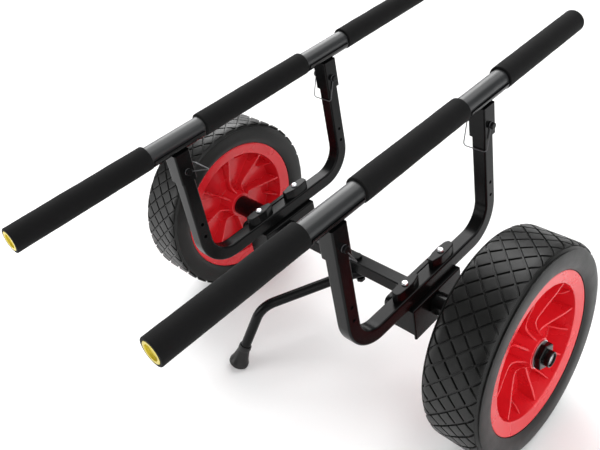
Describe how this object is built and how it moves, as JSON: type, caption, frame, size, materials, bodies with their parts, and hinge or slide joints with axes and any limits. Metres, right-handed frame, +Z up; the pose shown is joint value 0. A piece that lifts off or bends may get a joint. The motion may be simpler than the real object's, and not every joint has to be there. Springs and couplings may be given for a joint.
{
  "type": "kayak cart",
  "caption": "Two-wheeled boat cart with padded parallel bars on U-frames, a square crossbar, solid-tyred wheels and a swing-out support foot.",
  "frame": {"origin": "on the ground, midway between the wheels and midway along the bars", "axes": "+X from the left wheel to the right wheel, +Y along the padded bars away from the support foot, +Z up"},
  "size_m": [0.6896, 0.818, 0.427],
  "materials": {
    "black_powder_coat": "satin powder coat",
    "grey_powder_coat": "satin powder coat, dark grey",
    "foam": "matte closed-cell foam",
    "yellow_plastic": "satin",
    "zinc_steel": "bright zinc plate",
    "red_plastic": "moulded, semi-gloss",
    "tyre_rubber": "matte solid rubber",
    "black_plastic": "satin",
    "foot_rubber": "matte"
  },
  "bodies": {
    "cart": {"left_frame": "black_powder_coat", "left_bar": "grey_powder_coat", "left_middle_foam": "foam", "left_saddle": "black_powder_coat", "left_clamp": "black_powder_coat", "left_axle": "zinc_steel", "left_spacer": "black_plastic", "left_washer": "zinc_steel", "left_hub_nut": "black_plastic", "left_near_bracket": "black_powder_coat", "left_near_pin": "black_powder_coat", "left_near_foam": "foam", "left_near_plug": "yellow_plastic", "left_near_clamp_bolt": "zinc_steel", "left_far_bracket": "black_powder_coat", "left_far_pin": "black_powder_coat", "left_far_foam": "foam", "left_far_plug": "yellow_plastic", "left_far_clamp_bolt": "zinc_steel", "right_frame": "black_powder_coat", "right_bar": "grey_powder_coat", "right_middle_foam": "foam", "right_saddle": "black_powder_coat", "right_clamp": "black_powder_coat", "right_axle": "zinc_steel", "right_spacer": "black_plastic", "right_washer": "zinc_steel", "right_hub_nut": "black_plastic", "right_near_bracket": "black_powder_coat", "right_near_pin": "black_powder_coat", "right_near_foam": "foam", "right_near_plug": "yellow_plastic", "right_near_clamp_bolt": "zinc_steel", "right_far_bracket": "black_powder_coat", "right_far_pin": "black_powder_coat", "right_far_foam": "foam", "right_far_plug": "yellow_plastic", "right_far_clamp_bolt": "zinc_steel", "crossbar": "black_powder_coat", "stand_bolt": "zinc_steel"},
    "left_wheel": {"left_rim": "red_plastic", "left_tyre": "tyre_rubber"},
    "right_wheel": {"right_rim": "red_plastic", "right_tyre": "tyre_rubber"},
    "stand": {"stand_tube": "black_powder_coat", "stand_foot": "foot_rubber"},
    "left_near_bail": {"left_near_bail": "zinc_steel"},
    "left_far_bail": {"left_far_bail": "zinc_steel"},
    "right_near_bail": {"right_near_bail": "zinc_steel"},
    "right_far_bail": {"right_far_bail": "zinc_steel"}
  },
  "joints": [
    {"name": "left_wheel_spin", "type": "hinge", "parent": "cart", "child": "left_wheel", "pos_m": [-0.2906, 0, 0.152], "axis": [1, 0, 0], "continuous": true},
    {"name": "right_wheel_spin", "type": "hinge", "parent": "cart", "child": "right_wheel", "pos_m": [0.2906, 0, 0.152], "axis": [1, 0, 0], "continuous": true},
    {"name": "stand_swing", "type": "hinge", "parent": "cart", "child": "stand", "pos_m": [0.02, 0, 0.1324], "axis": [0, 0, 1], "range_deg": [-30, 90]},
    {"name": "left_near_bail_swing", "type": "hinge", "parent": "cart", "child": "left_near_bail", "pos_m": [-0.1484, -0.154, 0.3625], "axis": [1, 0, 0], "range_deg": [-45, 58]},
    {"name": "left_far_bail_swing", "type": "hinge", "parent": "cart", "child": "left_far_bail", "pos_m": [-0.1484, 0.154, 0.3625], "axis": [1, 0, 0], "range_deg": [-88, 0]},
    {"name": "right_near_bail_swing", "type": "hinge", "parent": "cart", "child": "right_near_bail", "pos_m": [0.1484, -0.154, 0.3625], "axis": [1, 0, 0], "range_deg": [-8, 95]},
    {"name": "right_far_bail_swing", "type": "hinge", "parent": "cart", "child": "right_far_bail", "pos_m": [0.1484, 0.154, 0.3625], "axis": [1, 0, 0], "range_deg": [-88, 0]}
  ]
}
